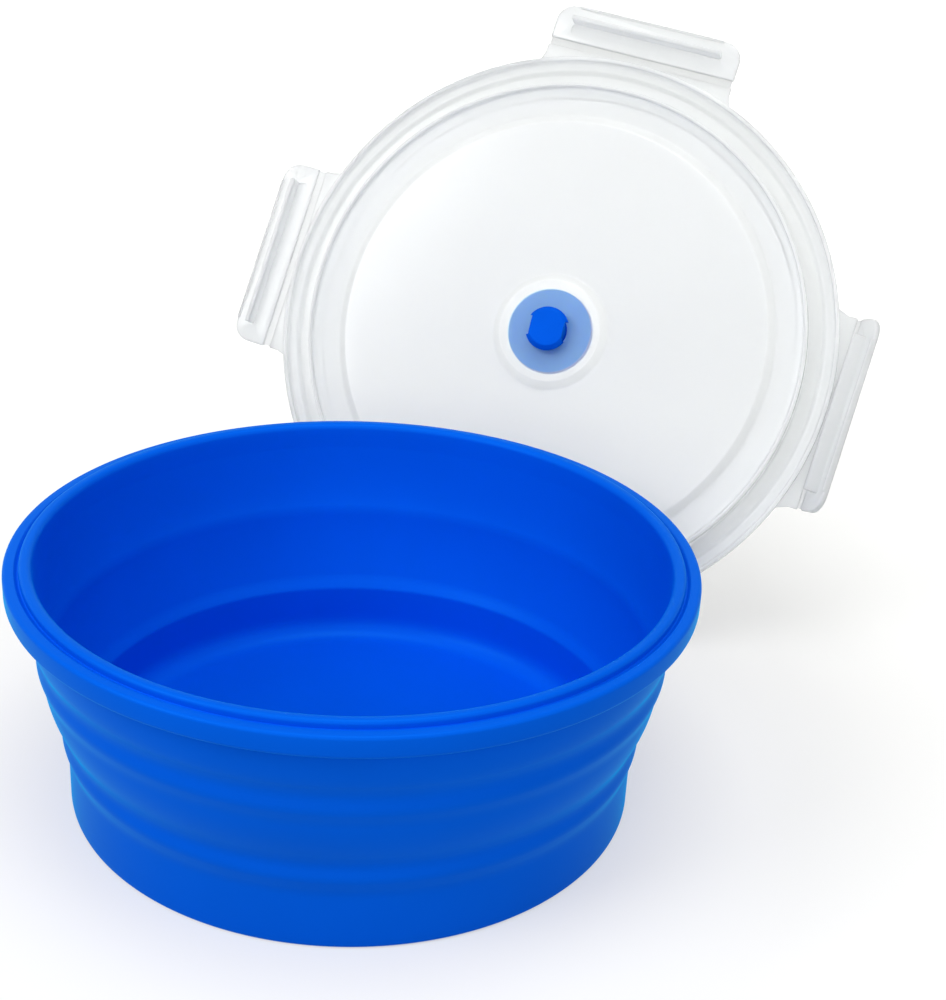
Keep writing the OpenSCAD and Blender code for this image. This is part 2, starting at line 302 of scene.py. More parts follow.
# %% [markdown]
# ## Outlines with soft corners
# Nothing on a moulding is sharp. An outline is written as its corners, each with the radius of its round,
# and a function turns each corner into a true arc. Long straight stretches get a few points more, so that
# smooth shading stays local and the wall can bend where it folds.

# %% Outline helpers
ARC_STEPS = 6
LONGEST_STRETCH = 2.2

# A round takes less than half of each side of its corner, so that two rounds never meet.
SIDE_SHARE = 0.49


def rounded(corners, closed=False):
    """Corners (x, y, radius) as a fine line of points, each corner an arc tangent to both its sides."""
    count = len(corners)
    line = []
    for i, (x, y, radius) in enumerate(corners):
        here = Vector((x, y))
        at_end = not closed and i in (0, count - 1)
        if at_end or radius == 0:
            line.append(here)
            continue
        before = Vector(corners[i - 1][:2]) - here
        after = Vector(corners[(i + 1) % count][:2]) - here
        half = before.angle(after) / 2
        reach = min(radius / math.tan(half), before.length * SIDE_SHARE, after.length * SIDE_SHARE)
        radius = reach * math.tan(half)
        middle = here + (before.normalized() + after.normalized()).normalized() * radius / math.sin(half)
        start = here + before.normalized() * reach - middle
        sweep = start.angle_signed(here + after.normalized() * reach - middle)
        for k in range(ARC_STEPS + 1):
            line.append(middle + Matrix.Rotation(-sweep * k / ARC_STEPS, 2) @ start)
    return line


def evenly_split(line, closed=False):
    """The same line, with extra points where a stretch is long."""
    ends = line[1:] + line[:1] if closed else line[1:]
    fine = []
    for a, b in zip(line, ends):
        pieces = max(1, math.ceil((b - a).length / LONGEST_STRETCH))
        fine += [a.lerp(b, k / pieces) for k in range(pieces)]
    return fine if closed else fine + [line[-1]]


square = rounded([(0, 0, 1), (4, 0, 1), (4, 4, 1), (0, 4, 1)], True)
print("a square with round corners:", len(square), "points")

# %% [markdown]
# ## Two Geometry Nodes trees that share their ends
# Two node trees make nearly every piece here. Both take an outline and a material as named inputs, and both
# close their mesh, make its instances real and set the material. So one function starts a tree, one ends
# it, and one runs it on an object, by the identifiers of its inputs.


# %% Tree helpers
WELD = 0.002


def start_tree(name, inputs):
    """An empty geometry tree with named inputs, and the sockets that carry them."""
    tree = bpy.data.node_groups.new(name, "GeometryNodeTree")
    for label, kind in inputs.items():
        tree.interface.new_socket(label, in_out="INPUT", socket_type="NodeSocket" + kind)
    tree.interface.new_socket("Piece", in_out="OUTPUT", socket_type="NodeSocketGeometry")
    return tree, add_node(tree, "NodeGroupInput").outputs


def end_tree(tree, mesh, finish):
    """Closes the mesh, makes its instances real, sets the material and puts it out."""
    closed = add_node(tree, "GeometryNodeMergeByDistance", {"Distance": WELD * MM}, {"Geometry": mesh})
    single = add_node(tree, "GeometryNodeRealizeInstances", links={"Geometry": closed.outputs["Geometry"]})
    painted = add_node(tree, "GeometryNodeSetMaterial",
                       links={"Geometry": single.outputs["Geometry"], "Material": finish})
    add_node(tree, "NodeGroupOutput", links={"Piece": painted.outputs["Geometry"]})


def run_tree(made, tree, values):
    """Adds a tree to an object as a modifier, with a value for each named input."""
    step = made.modifiers.new(tree.name, "NODES")
    step.node_group = tree
    inputs = {s.name: s.identifier for s in tree.interface.items_tree if s.in_out == "INPUT"}
    for label, value in values.items():
        step[inputs[label]] = value


def evaluated_mesh(made):
    """What an object's modifiers make, as a mesh of its own."""
    return bpy.data.meshes.new_from_object(made.evaluated_get(bpy.context.evaluated_depsgraph_get()))


print("points closer than", WELD, "mm are joined")

# %% [markdown]
# ## Turning an outline
# The bowl, the lid and the plug are bodies of revolution, so the first tree does what a lathe does: it
# sweeps the outline round a circle. The number of segments is an input, so that one tree serves every
# turned piece. The sweep carries the outline's origin along the circle, so radii are drawn from the circle
# and not from the axis. It also lays the outline's Y axis downwards, so heights are drawn with a minus.


# %% The turning tree
SEGMENTS = 240
DISTANCE = 50

# Smaller edges and gaps than this are slivers, and are taken out.
CLOSEST = 0.004


def turning_tree():
    """A tree that sweeps an outline, whose origin lies on a circle, once round that circle."""
    tree, given = start_tree("turn_outline", {"Outline": "Geometry", "Segments": "Int",
                                              "Distance": "Float", "Finish": "Material"})
    outline = add_node(tree, "GeometryNodeMeshToCurve", links={"Mesh": given["Outline"]})
    circle = add_node(tree, "GeometryNodeCurvePrimitiveCircle",
                      links={"Resolution": given["Segments"], "Radius": given["Distance"]})
    swept = add_node(tree, "GeometryNodeCurveToMesh",
                     links={"Curve": circle.outputs["Curve"], "Profile Curve": outline.outputs["Curve"]})
    end_tree(tree, swept.outputs["Mesh"], given["Finish"])
    return tree


TURNING = turning_tree()


def turned(name, line, closed, material, place=Matrix.Identity(4)):
    """A mesh turned from a line of (radius, height) points in millimetres, put at its place."""
    count = len(line)
    edges = [(i, (i + 1) % count) for i in range(count if closed else count - 1)]
    outline = bpy.data.meshes.new(name + "_outline")
    outline.from_pydata([((x - DISTANCE) * MM, -y * MM, 0) for x, y in line], edges, [])
    holder = new_object(name + "_outline", outline)
    run_tree(holder, TURNING, {"Segments": SEGMENTS, "Distance": DISTANCE * MM, "Finish": material})
    mesh = evaluated_mesh(holder)
    bpy.data.objects.remove(holder)
    mesh.name = name
    mesh.transform(place)
    tidy_normals(mesh)
    return mesh


def tidy_normals(mesh, sharp_deg=40):
    """Merges doubles, points every face outwards, and shades smooth except over true edges."""
    work = bmesh.new()
    work.from_mesh(mesh)
    bmesh.ops.remove_doubles(work, verts=work.verts, dist=CLOSEST * MM)
    bmesh.ops.dissolve_degenerate(work, edges=work.edges, dist=CLOSEST * MM)
    bmesh.ops.recalc_face_normals(work, faces=work.faces)
    work.to_mesh(mesh)
    work.free()
    mesh.shade_smooth()
    mesh.set_sharp_from_angle(angle=math.radians(sharp_deg))


print("turning tree has", len(TURNING.nodes), "nodes")

# %% [markdown]
# ## The bowl
# One outline makes the whole moulding: foot, lower wall, thin folding band, upper wall, then the collar
# that the clips hook under, the flange, a fine groove and the sealing bead, and back down the inside.
# Above each fold line the wall draws in a little and swells out again, a soft shoulder that catches light.

# %% Sizes of the bowl's outline
# The groove beside the bead: its depth, its width at the top and its flat floor.
GROOVE_DROP = 0.7
GROOVE_MOUTH = 1.3
GROOVE_FLOOR = 0.5

# The ring that the bowl stands on, and the recess inside it.
FOOT_RING = 6.0
FOOT_RECESS = 0.7
RECESS_SLOPE = 1

# A shoulder: how far its crest stands out and lies under the fold line, and how high its hollow is.
SHOULDER = 0.8
SHOULDER_H = 3.2
CREST_DROP = 0.6

# The outer curves of the band and the upper wall: where they start, aim and end, from a fold line or the
# collar.
CURVE_RISE = 6.2
BAND_START = 1.1
BAND_END = 0.7
WALL_START = 1.0
WALL_AIM = 0.4
WALL_AIM_RISE = 2
WALL_END_DROP = 1.5

# The inner curves, from the mouth and from the upper fold line.
THROAT = 0.1
THROAT_DROP = 2
THROAT_AIM = 0.6
INNER_BAND = 0.5
INNER_BAND_DROP = 1.5

# Shares of a distance, of a wall or of a shoulder.
BELLY_SHARE = 0.76
TOP_WALL_SHARE = 1.2
WALL_MID_SHARE = 0.35
SWELL_SHARE = 1.7
BAND_END_SHARE = 1.5
HOLLOW_SHARE = 0.1

# Rounds of the corners, from the foot up the outside and down the inside.
RECESS_ROUND = 0.6
FOOT_ROUND = 1.2
SWELL_ROUND = 9
CREST_ROUND = 4.5
HOLLOW_ROUND = 7
COLLAR_ROOT_ROUND = 0.9
COLLAR_ROUND = 1.1
FLANGE_ROUND = 1.0
GROOVE_ROUND = 0.5
BEAD_ROOT_ROUND = 0.4
BEAD_ROUND = 1.5
MOUTH_ROUND = 1.8
THROAT_ROUND = 4
INNER_FOLD_ROUND = 2
FLOOR_ROUND = 6
print("a shoulder stands out", SHOULDER, "mm, the groove is", GROOVE_DROP, "mm deep")

# %% Bowl outline
BEAD_OUT_R = MOUTH_R + BEAD_W
belly_r = FOLD_FOOT_R + (FOLD_TOP_R - FOLD_FOOT_R) * BELLY_SHARE
fold_foot_in_r = FOLD_FOOT_R - FOLD_WALL
fold_top_in_r = FOLD_TOP_R - FOLD_WALL * TOP_WALL_SHARE
base_in_r = BASE_R - BASE_WALL
band_mid_z = (FOLD_FOOT_Z + FOLD_TOP_Z) / 2
wall_mid_z = FOLD_TOP_Z + (COLLAR_Z - FOLD_TOP_Z) * WALL_MID_SHARE
groove_z = FLANGE_Z - GROOVE_DROP


def curve_points(start, aim, end, steps=10):
    """Corners along a soft curve that leaves start towards aim and comes to end from it."""
    start = Vector(start)
    aim = Vector(aim)
    end = Vector(end)
    points = [start.lerp(aim, k / steps).lerp(aim.lerp(end, k / steps), k / steps) for k in range(steps + 1)]
    return [(p.x, p.y, 0) for p in points]


def shoulder(r, z):
    """Two corners of the soft shoulder at a fold line: its crest and the hollow above it."""
    return [(r + SHOULDER, z - CREST_DROP, CREST_ROUND),
            (r - SHOULDER * HOLLOW_SHARE, z + SHOULDER_H, HOLLOW_ROUND)]


outside = [
    (0, FOOT_RECESS, 0), (BASE_R - FOOT_RING - RECESS_SLOPE, FOOT_RECESS, RECESS_ROUND),
    (BASE_R - FOOT_RING, 0, RECESS_ROUND), (BASE_R, 0, FOOT_ROUND),
    (BASE_R, FOLD_FOOT_Z - SHOULDER_H * SWELL_SHARE, SWELL_ROUND)]
outside += shoulder(FOLD_FOOT_R, FOLD_FOOT_Z)
outside += curve_points((FOLD_FOOT_R + BAND_START, FOLD_FOOT_Z + CURVE_RISE), (belly_r, band_mid_z),
                        (FOLD_TOP_R - BAND_END, FOLD_TOP_Z - SHOULDER_H * BAND_END_SHARE))
outside += shoulder(FOLD_TOP_R, FOLD_TOP_Z)
outside += curve_points((FOLD_TOP_R + WALL_START, FOLD_TOP_Z + CURVE_RISE),
                        (WALL_TOP_R - WALL_AIM, wall_mid_z + WALL_AIM_RISE),
                        (WALL_TOP_R, COLLAR_Z - WALL_END_DROP))
outside += [
    (WALL_TOP_R, COLLAR_Z, COLLAR_ROOT_ROUND), (RIM_R, COLLAR_Z, COLLAR_ROUND),
    (RIM_R, FLANGE_Z, FLANGE_ROUND), (BEAD_OUT_R + GROOVE_MOUTH, FLANGE_Z, GROOVE_ROUND),
    (BEAD_OUT_R + GROOVE_FLOOR, groove_z, GROOVE_ROUND), (BEAD_OUT_R, groove_z, BEAD_ROOT_ROUND),
    (BEAD_OUT_R, BOWL_H, BEAD_ROUND), (MOUTH_R, BOWL_H, MOUTH_ROUND)]
inside = [(MOUTH_R, COLLAR_Z, THROAT_ROUND)]
inside += curve_points((MOUTH_R - THROAT, COLLAR_Z - THROAT_DROP), (MOUTH_R - THROAT_AIM, wall_mid_z),
                       (fold_top_in_r, FOLD_TOP_Z))
inside += curve_points((fold_top_in_r - INNER_BAND, FOLD_TOP_Z - INNER_BAND_DROP),
                       (belly_r - FOLD_WALL, band_mid_z), (fold_foot_in_r, FOLD_FOOT_Z))
inside += [(base_in_r, FOLD_FOOT_Z - SHOULDER_H, INNER_FOLD_ROUND), (base_in_r, FLOOR_T, FLOOR_ROUND),
           (0, FLOOR_T, 0)]
bowl_line = evenly_split(rounded(outside + inside))
print("bowl outline:", len(bowl_line), "points")

# %% Bowl
bowl = new_object("silicone_bowl", turned("silicone_bowl", bowl_line, False, BOWL_SILICONE))
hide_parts("base_cup", "fold_band", "upper_wall", "rim_collar")
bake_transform(bowl)
print("bowl:", len(bowl.data.polygons), "faces")

# %% [markdown]
# ## The lid
# The lid's outline is turned in its own frame: the sunk panel with the seat of the vent plug, the step up
# to the flat ring, the skirt that plugs the mouth, the channel over the sealing bead, and the outer lip.

# %% Sizes of the lid's outline
# Gaps to the bowl beside the lip and the skirt, and beside the bead.
SIDE_GAP = 0.5
BEAD_GAP = 0.6

# The lip outside the rim and the skirt inside it.
LIP_T = 1.4
LIP_DROP = 2.2
SKIRT_T = 1.2
SKIRT_DROP = 4.4

# The ring inside the skirt, the step down from it, and the panel.
SHELF_W = 9.0
STEP_W = 2.6
STEP_LEAN = 0.4
SHELF_DROP = 1.0
SHELF_SLOPE = 1.4
PANEL_SINK = 2.0

# The seat of the vent plug and its hole.
SEAT_R = 16.6
SEAT_SINK = 2.4
SEAT_SLOPE = 1.2
HOLE_R = 6.0

# How wide the channel's slope is inside and outside.
CHANNEL_SLOPE = 1.2
CROWN_SLOPE = 1.4

# Rounds of the corners.
HOLE_ROUND = 0.3
SEAT_ROUND = 0.8
SEAT_FLOOR_ROUND = 0.6
STEP_ROUND = 1.2
SHELF_ROUND = 0.9
TIP_ROUND = 0.5
SKIRT_ROUND = 0.6
CHANNEL_ROUND = 0.9
LIP_ROOT_ROUND = 1.1
LIP_ROUND = 0.65
CROWN_ROUND = 1.5
print("gap beside the rim:", SIDE_GAP, "mm")

# %% Lid outline
LIP_IN_R = RIM_R + SIDE_GAP
LID_R = LIP_IN_R + LIP_T
SKIRT_R = MOUTH_R - SIDE_GAP
SKIRT_IN_R = SKIRT_R - SKIRT_T
CHANNEL_R = BEAD_OUT_R + BEAD_GAP
ROOF_Z = BEAD_RISE + SEAT_GAP
SHELF_R = SKIRT_IN_R - SHELF_W
PANEL_R = SHELF_R - STEP_W
PANEL_TOP = LID_T - SHELF_DROP - PANEL_SINK
SEAT_TOP = PANEL_TOP - SEAT_SINK
lip_top = SEAT_GAP + LID_T
crown_top = ROOF_Z + LID_T
inner_side = [
    (HOLE_R, SEAT_TOP - LID_T, HOLE_ROUND), (SEAT_R + LID_T - SEAT_SLOPE, SEAT_TOP - LID_T, SEAT_ROUND),
    (SEAT_R + LID_T + SEAT_SLOPE, PANEL_TOP - LID_T, STEP_ROUND), (PANEL_R, PANEL_TOP - LID_T, STEP_ROUND),
    (SHELF_R, -SHELF_DROP, STEP_ROUND), (SKIRT_IN_R, -SHELF_DROP - SHELF_SLOPE, SHELF_ROUND),
    (SKIRT_IN_R, -SKIRT_DROP, TIP_ROUND), (SKIRT_R, -SKIRT_DROP, SKIRT_ROUND),
    (SKIRT_R, ROOF_Z, CHANNEL_ROUND), (CHANNEL_R, ROOF_Z, CHANNEL_ROUND),
    (CHANNEL_R + CHANNEL_SLOPE, SEAT_GAP, STEP_ROUND), (LIP_IN_R, SEAT_GAP, LIP_ROOT_ROUND),
    (LIP_IN_R, -LIP_DROP, TIP_ROUND)]
outer_side = [
    (LID_R, -LIP_DROP, LIP_ROUND), (LID_R, lip_top, CROWN_ROUND),
    (CHANNEL_R + LID_T + CROWN_SLOPE, lip_top, CROWN_ROUND), (CHANNEL_R + LID_T, crown_top, CROWN_ROUND),
    (SKIRT_IN_R - LID_T, crown_top, STEP_ROUND),
    (SKIRT_IN_R - LID_T * 2, LID_T - SHELF_DROP - SHELF_SLOPE / 2, SHELF_ROUND),
    (SHELF_R - STEP_LEAN, LID_T - SHELF_DROP, STEP_ROUND), (PANEL_R - STEP_LEAN, PANEL_TOP, STEP_ROUND),
    (SEAT_R + SEAT_SLOPE, PANEL_TOP, SEAT_ROUND), (SEAT_R - SEAT_SLOPE, SEAT_TOP, SEAT_FLOOR_ROUND),
    (HOLE_R, SEAT_TOP, HOLE_ROUND)]
lid_line = evenly_split(rounded(inner_side + outer_side, True), True)
print("lid outline:", len(lid_line), "points, outer radius", round(LID_R, 1))

# %% [markdown]
# ## Plates
# The roots that carry the hinges, and every part of the four clips, are flat plates with their own outline.
# They repeat, so the second tree makes them all: it fills a closed outline, thickens it and closes the back.
# A bevel softens each plate's edges before the plates are joined, and a finer one the corners between them
# afterwards.


# %% The plate tree
def plate_tree():
    """A tree that turns a closed outline into a plate of a given thickness."""
    tree, given = start_tree("thicken_outline", {"Outline": "Geometry", "Thickness": "Float",
                                                 "Finish": "Material"})
    outline = add_node(tree, "GeometryNodeMeshToCurve", links={"Mesh": given["Outline"]})
    face = add_node(tree, "GeometryNodeFillCurve", links={"Curve": outline.outputs["Curve"]}, mode="NGONS")
    raised = add_node(tree, "GeometryNodeExtrudeMesh", {"Individual": False},
                      {"Mesh": face.outputs["Mesh"], "Offset Scale": given["Thickness"]})
    back = add_node(tree, "GeometryNodeFlipFaces", links={"Mesh": face.outputs["Mesh"]})
    both = add_node(tree, "GeometryNodeJoinGeometry", links={"Geometry": raised.outputs["Mesh"]})
    tree.links.new(back.outputs["Mesh"], both.inputs["Geometry"])
    end_tree(tree, both.outputs["Geometry"], given["Finish"])
    return tree


PLATES = plate_tree()
BEVEL_STEPS = 3

# Edges sharper than the first angle are bevelled, and edges sharper than the second stay unsmoothed.
BEVEL_FROM_DEG = 50
PLATE_SHARP_DEG = 35


def keep_result(made):
    """Keeps what an object's modifiers make as its own mesh, and removes them."""
    result = evaluated_mesh(made)
    made.modifiers.clear()
    made.data = result


def round_edges(made, width):
    """Bevels every edge that is sharper than the steps of an arc."""
    edges = made.modifiers.new("soft_edges", "BEVEL")
    edges.width = width * MM
    edges.segments = BEVEL_STEPS
    edges.limit_method = "ANGLE"
    edges.angle_limit = math.radians(BEVEL_FROM_DEG)
    keep_result(made)


def plate(name, corners, z0, z1, soft, material):
    """A plate from corners (x, y, radius) and two heights, its edges rounded by soft."""
    line = rounded(corners, True)
    outline = bpy.data.meshes.new(name)
    loop = [(i, (i + 1) % len(line)) for i in range(len(line))]
    outline.from_pydata([(x * MM, y * MM, 0) for x, y in line], loop, [])
    made = new_object(name, outline)
    run_tree(made, PLATES, {"Thickness": (z1 - z0) * MM, "Finish": material})
    keep_result(made)
    if soft:
        round_edges(made, soft)
    put(made, Matrix.Translation((0, 0, z0 * MM)))
    return made


def put(made, place):
    """Moves a piece's mesh to its place and tidies its normals."""
    made.data.transform(place)
    tidy_normals(made.data, PLATE_SHARP_DEG)


def combine(target, tool, operation):
    """Joins or cuts with another closed piece, keeps the result, and removes the tool."""
    step = target.modifiers.new("combine", "BOOLEAN")
    step.operation = operation
    step.solver = "MANIFOLD"
    step.object = tool
    keep_result(target)
    bpy.data.objects.remove(tool)


def mirrored(corners):
    """Corners on one side of the X axis and, in reverse, their mirror images."""
    return corners + [(x, -y, radius) for x, y, radius in reversed(corners)]


def open_edges(made):
    """How many edges of a piece have other than two faces: none, where the mesh is closed."""
    work = bmesh.new()
    work.from_mesh(made.data)
    count = sum(not edge.is_manifold for edge in work.edges)
    work.free()
    return count


print("plate tree has", len(PLATES.nodes), "nodes")

# %% [markdown]
# ## The lid with its four roots
# A root is the small flat land between the round lid and a straight hinge line. The roots are joined to
# the turned body with a boolean, so that no face stays inside the see-through plastic, where it would show.
# They are a few hundredths of a millimetre thinner than the lid, because a boolean leaves slivers where two
# faces lie in one plane. The part of a root that would lie inside the lip is cut away first, because the
# rim's flange goes there.

# %% Lid with its roots
CLIP_W = 64.5
WEB_L = 2.4
ROOT_R = HINGE_R - WEB_L / 2
ROOT_INSET = 0.04
ROOT_SOFT = 0.3

# A root's side: how far it flares at the lid and at its bend, and how far in these lie.
ROOT_LAP = 2
ROOT_FLARE = 5.72
ROOT_BEND = 6.5
ROOT_BEND_FLARE = 1.3
ROOT_BEND_ROUND = 4
ROOT_LAND = 3
ROOT_LAND_ROUND = 3

# The space cleared inside the lip reaches this far into it, and this far up and down.
LIP_CUT = 0.7
LIP_CUT_H = 9
LID_SHARP_DEG = 32


def clip_place(turn):
    """The lid's frame turned so that X points at one clip."""
    return LID_PLACE @ Matrix.Rotation(math.radians(turn), 4, "Z")


lid = new_object("milky_lid", turned("milky_lid", lid_line, True, LID_PLASTIC, LID_PLACE), LID_PLASTIC)
cut_r = LIP_IN_R + LIP_CUT
lip_space = [Vector(p) for p in ((0, -LIP_CUT_H), (cut_r, -LIP_CUT_H), (cut_r, LIP_CUT_H), (0, LIP_CUT_H))]
root_corners = mirrored([
    (SKIRT_R - ROOT_LAP, -CLIP_W / 2 - ROOT_FLARE, 0),
    (ROOT_R - ROOT_BEND, -CLIP_W / 2 - ROOT_BEND_FLARE, ROOT_BEND_ROUND),
    (ROOT_R - ROOT_LAND, -CLIP_W / 2, ROOT_LAND_ROUND), (ROOT_R, -CLIP_W / 2, 0)])
for clip_name, turn in CLIP_TURNS.items():
    root = plate("root", root_corners, SEAT_GAP + ROOT_INSET, SEAT_GAP + LID_T - ROOT_INSET, ROOT_SOFT,
                 LID_PLASTIC)
    put(root, clip_place(turn))
    space = new_object("space", turned("space", lip_space, False, LID_PLASTIC, LID_PLACE))
    combine(root, space, "DIFFERENCE")
    combine(lid, root, "UNION")
tidy_normals(lid.data, LID_SHARP_DEG)
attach(lid, "lid")
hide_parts("lid_shell")
print("lid:", len(lid.data.polygons), "faces, open edges:", open_edges(lid))

# %% [markdown]
# ## Clips
# A clip is a plate with rounded outer corners, a ledge that hooks under the collar, a shallow pocket that
# the rim sinks into, and a small turned-down finger edge. All four are the same moulding, so one function
# makes them, at the angle where each one rests.

# %% Clips
CLIP_L = 12.2
CLIP_T = 1.8
CLIP_CORNER = 7.0
FINGER_T = 0.9
FINGER_RISE = 0.6
POCKET_NEAR = 3.4
POCKET_DEPTH = 0.4
POCKET_ROUND = 1.5

# On a closed clip the ledge lies a seat gap below the collar, and reaches in under it by the clip's
# thickness.
LEDGE_T = 1.6
LEDGE_W = 52.0
LEDGE_FAR = FLANGE_Z - COLLAR_Z + HINGE_Z + SEAT_GAP + LEDGE_T
LEDGE_H = HINGE_R - RIM_R + CLIP_T / 2

# Widths of the bevels, and how far a cutting plate reaches past what it cuts.
PLATE_SOFT = 0.6
LEDGE_SOFT = 0.5
FINGER_SOFT = 0.4
CORNER_SOFT = 0.15
OVERCUT = 1


def clip(clip_name):
    """One clip, rested at its angle, riding its own body."""
    hinge = Matrix.Translation((HINGE_R * MM, 0, HINGE_Z * MM))
    bend = Matrix.Rotation(math.radians(CLIP_REST[clip_name]), 4, "Y")
    place = clip_place(CLIP_TURNS[clip_name]) @ hinge @ bend
    near = WEB_L / 2
    far = near + CLIP_L
    side = CLIP_W / 2
    edge = side - CLIP_CORNER
    inner = -CLIP_T / 2
    made = plate(clip_name + "_clip_plate", mirrored([(near, -side, 0), (far, -side, CLIP_CORNER)]),
                 inner, CLIP_T / 2, PLATE_SOFT, LID_PLASTIC)
    ledge = mirrored([(LEDGE_FAR - LEDGE_T, -LEDGE_W / 2, 0), (LEDGE_FAR, -LEDGE_W / 2, 0)])
    combine(made, plate("ledge", ledge, inner - LEDGE_H, 0, LEDGE_SOFT, LID_PLASTIC), "UNION")
    finger = mirrored([(far - FINGER_T, -edge, 0), (far, -edge, 0)])
    combine(made, plate("finger", finger, inner - FINGER_RISE, 0, FINGER_SOFT, LID_PLASTIC), "UNION")
    pocket = mirrored([(POCKET_NEAR, -LEDGE_W / 2, POCKET_ROUND),
                       (LEDGE_FAR - LEDGE_T, -LEDGE_W / 2, POCKET_ROUND)])
    tool = plate("pocket", pocket, inner - OVERCUT, inner + POCKET_DEPTH, 0, LID_PLASTIC)
    combine(made, tool, "DIFFERENCE")
    round_edges(made, CORNER_SOFT)
    put(made, place)
    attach(made, clip_name + "_flap")
    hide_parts(clip_name + "_clip")
    return made


clips = [clip(clip_name) for clip_name in CLIP_TURNS]
print("clips:", [len(made.data.polygons) for made in clips], "open edges:", [open_edges(c) for c in clips])

# %% [markdown]
# ## Living hinges
# A living hinge is a web of the same plastic, half a millimetre thick, that bends thousands of times.

# %% Webs
WEB_T = 0.5
WEB_W = CLIP_W - WEB_T * 2
WEB_STEPS = 12

# A web reaches this far into its root and into its clip.
WEB_LAP = 0.25


def web_path(rest_turn):
    """Points of the web's middle line, as (outwards, along the lid's axis) from the hinge line."""
    angle = math.radians(rest_turn)
    fold = Vector((0, 0))
    start = Vector((-WEB_L / 2 - WEB_LAP, 0))
    end = Vector((math.cos(angle), -math.sin(angle))) * (WEB_L / 2 + WEB_LAP)
    shares = [k / WEB_STEPS for k in range(WEB_STEPS + 1)]
    return [start.lerp(fold, share).lerp(fold.lerp(end, share), share) for share in shares]


def hinge_web(clip_name):
    """One web as a thin bent strip between the lid and its clip."""
    path = web_path(CLIP_REST[clip_name])
    place = clip_place(CLIP_TURNS[clip_name]) @ Matrix.Translation((HINGE_R * MM, 0, HINGE_Z * MM))
    work = bmesh.new()
    rings = []
    for k, point in enumerate(path):
        ahead = path[min(k + 1, WEB_STEPS)] - path[max(k - 1, 0)]
        across = Vector((-ahead.y, ahead.x)).normalized() * WEB_T / 2
        corners = [(point + across, -1), (point - across, -1), (point - across, 1), (point + across, 1)]
        rings.append([work.verts.new((c.x * MM, side * WEB_W / 2 * MM, c.y * MM)) for c, side in corners])
    for a, b in zip(rings, rings[1:]):
        for i in range(4):
            work.faces.new((a[i], a[(i + 1) % 4], b[(i + 1) % 4], b[i]))
    work.faces.new(rings[0])
    work.faces.new(reversed(rings[-1]))
    work.transform(place)
    mesh = bpy.data.meshes.new(clip_name + "_web")
    work.to_mesh(mesh)
    work.free()
    tidy_normals(mesh)
    web = new_object(clip_name + "_web", mesh, LID_PLASTIC)
    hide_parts(clip_name + "_hinge")
    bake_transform(web)
    return web


webs = [hinge_web(clip_name) for clip_name in CLIP_TURNS]
print("webs:", len(webs))

# %% [markdown]
# ## Vent plug
# The plug is turned like the bowl: a flat cap in its seat, a neck through the hole, and a disc that keeps it
# there. Two notches in that disc let steam by when the plug is pulled out.

# %% Plug
CAP_R = 14.2
CAP_T = 2.4
NECK_R = 5.4
DISC_R = 7.3
DISC_H = 2.2
PLUG_TRAVEL = 3.0
CAP_GAP = 0.1

# Rounds of the corners, and the disc's tapered foot.
PLUG_ROUND = 0.3
CAP_ROUND = 1
CAP_FOOT_ROUND = 0.6
DISC_TAPER = 1.4
DISC_TAPER_H = 1.2
DISC_ROUND = 0.9
DISC_TIP_ROUND = 0.8

# The notches: how far out they start and end, their width, and how they are turned.
NOTCH_X = 5.55
NOTCH_END = 3
NOTCH_W = 6.57
NOTCH_ROUND = 0.5
NOTCH_TURN = -4.3
cap_z = SEAT_TOP + CAP_GAP
disc_top_z = SEAT_TOP - LID_T - PLUG_TRAVEL
disc_foot_z = disc_top_z - DISC_H
plug_line = evenly_split(rounded([
    (0, disc_foot_z, 0), (DISC_R - DISC_TAPER, disc_foot_z, DISC_TIP_ROUND),
    (DISC_R, disc_foot_z + DISC_TAPER_H, DISC_ROUND), (DISC_R, disc_top_z, PLUG_ROUND),
    (NECK_R, disc_top_z, PLUG_ROUND), (NECK_R, cap_z, PLUG_ROUND), (CAP_R, cap_z, CAP_FOOT_ROUND),
    (CAP_R, cap_z + CAP_T, CAP_ROUND), (0, cap_z + CAP_T, 0)]))
plug = new_object("silicone_plug", turned("silicone_plug", plug_line, False, PLUG_SILICONE, LID_PLACE))
notch = mirrored([(DISC_R + NOTCH_END, -NOTCH_W / 2, 0), (NOTCH_X, -NOTCH_W / 2, NOTCH_ROUND)])
for half_turn in (0, 180):
    cut = plate("notch", notch, disc_foot_z - OVERCUT, disc_top_z + OVERCUT, 0, PLUG_SILICONE)
    put(cut, clip_place(NOTCH_TURN + half_turn))
    combine(plug, cut, "DIFFERENCE")
tidy_normals(plug.data, PLATE_SHARP_DEG)
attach(plug, "plug")
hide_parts("vent_plug")
print("plug:", len(plug.data.polygons), "faces, open edges:", open_edges(plug))

# %% [markdown]
# ## Floor, light and room
# A pale floor catches the object's soft shadow. It is seen as white because a little light of its own is
# added for the rays that look at it, more with distance, and not because more light falls on the object.
# The lamps are large, so shadows stay soft, and the one above is the strongest, as in a light tent.


# %% Floor
def looking_rays(tree):
    """A socket that is one for camera, glossy and transmission rays, and zero for all others."""
    path = add_node(tree, "ShaderNodeLightPath").outputs
    first = add_node(tree, "ShaderNodeMath", operation="MAXIMUM",
                     links={0: path["Is Camera Ray"], 1: path["Is Glossy Ray"]})
    both = add_node(tree, "ShaderNodeMath", operation="MAXIMUM",
                    links={0: first.outputs[0], 1: path["Is Transmission Ray"]})
    return both.outputs[0]


CARD_COLOUR = "#BEBEBB"
FLOOR_R = 6.0
FLOOR_SEGMENTS = 96


